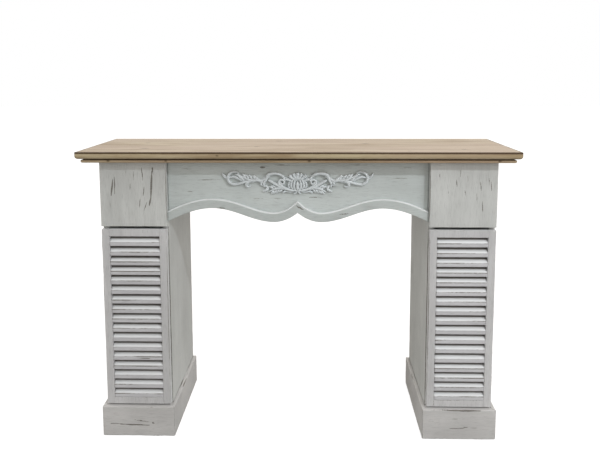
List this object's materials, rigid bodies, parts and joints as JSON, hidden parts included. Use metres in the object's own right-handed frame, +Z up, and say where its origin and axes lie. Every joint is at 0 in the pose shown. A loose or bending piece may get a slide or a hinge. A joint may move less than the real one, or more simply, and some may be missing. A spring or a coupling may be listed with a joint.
{
  "type": "fireplace mantelpiece",
  "caption": "Free-standing decorative fireplace surround: fir shelf on two painted cupboard pillars with louvred doors, serpentine frieze with carved scroll ornament, skirting plinths.",
  "frame": {"origin": "on the floor, in the middle of the shelf's width and depth", "axes": "+X along the shelf to the viewer's right, +Y from the front to the wall behind, +Z up"},
  "size_m": [1.3, 0.4, 0.8906],
  "materials": {
    "painted_wood": "matt grey-white paint, brushed and rubbed through along the edges",
    "painted_relief": "matt white-grey paint over carving, darker in the hollows",
    "fir": "waxed fir with dark patina along its arrises",
    "hinge_steel": "dull zinc-plated steel"
  },
  "bodies": {
    "surround": {"shelf_board": "fir", "under_board": "fir", "frieze": "painted_wood", "ornament": "painted_relief", "inner_side_left": "painted_wood", "outer_side_left": "painted_wood", "back_panel_left": "painted_wood", "floor_board_left": "painted_wood", "head_panel_left": "painted_wood", "plinth_left": "painted_wood", "inner_side_right": "painted_wood", "outer_side_right": "painted_wood", "back_panel_right": "painted_wood", "floor_board_right": "painted_wood", "head_panel_right": "painted_wood", "plinth_right": "painted_wood", "hinge_lower_pillar_leaf_left": "hinge_steel", "hinge_upper_pillar_leaf_left": "hinge_steel", "hinge_lower_pillar_leaf_right": "hinge_steel", "hinge_upper_pillar_leaf_right": "hinge_steel"},
    "door_left": {"door_frame_left": "painted_wood", "hinge_lower_door_leaf_left": "hinge_steel", "hinge_upper_door_leaf_left": "hinge_steel", "slat_left_01": "painted_wood", "slat_left_02": "painted_wood", "slat_left_03": "painted_wood", "slat_left_04": "painted_wood", "slat_left_05": "painted_wood", "slat_left_06": "painted_wood", "slat_left_07": "painted_wood", "slat_left_08": "painted_wood", "slat_left_09": "painted_wood", "slat_left_10": "painted_wood", "slat_left_11": "painted_wood", "slat_left_12": "painted_wood", "slat_left_13": "painted_wood", "slat_left_14": "painted_wood", "slat_left_15": "painted_wood", "slat_left_16": "painted_wood", "slat_left_17": "painted_wood"},
    "door_right": {"door_frame_right": "painted_wood", "hinge_lower_door_leaf_right": "hinge_steel", "hinge_upper_door_leaf_right": "hinge_steel", "slat_right_01": "painted_wood", "slat_right_02": "painted_wood", "slat_right_03": "painted_wood", "slat_right_04": "painted_wood", "slat_right_05": "painted_wood", "slat_right_06": "painted_wood", "slat_right_07": "painted_wood", "slat_right_08": "painted_wood", "slat_right_09": "painted_wood", "slat_right_10": "painted_wood", "slat_right_11": "painted_wood", "slat_right_12": "painted_wood", "slat_right_13": "painted_wood", "slat_right_14": "painted_wood", "slat_right_15": "painted_wood", "slat_right_16": "painted_wood", "slat_right_17": "painted_wood"}
  },
  "joints": [
    {"name": "door_left_hinge", "type": "hinge", "parent": "surround", "child": "door_left", "pos_m": [-0.5908, -0.1385, 0.3755], "axis": [0, 0, -1], "range_deg": [0, 100]},
    {"name": "door_right_hinge", "type": "hinge", "parent": "surround", "child": "door_right", "pos_m": [0.5908, -0.1385, 0.3755], "axis": [0, 0, 1], "range_deg": [0, 100]}
  ]
}
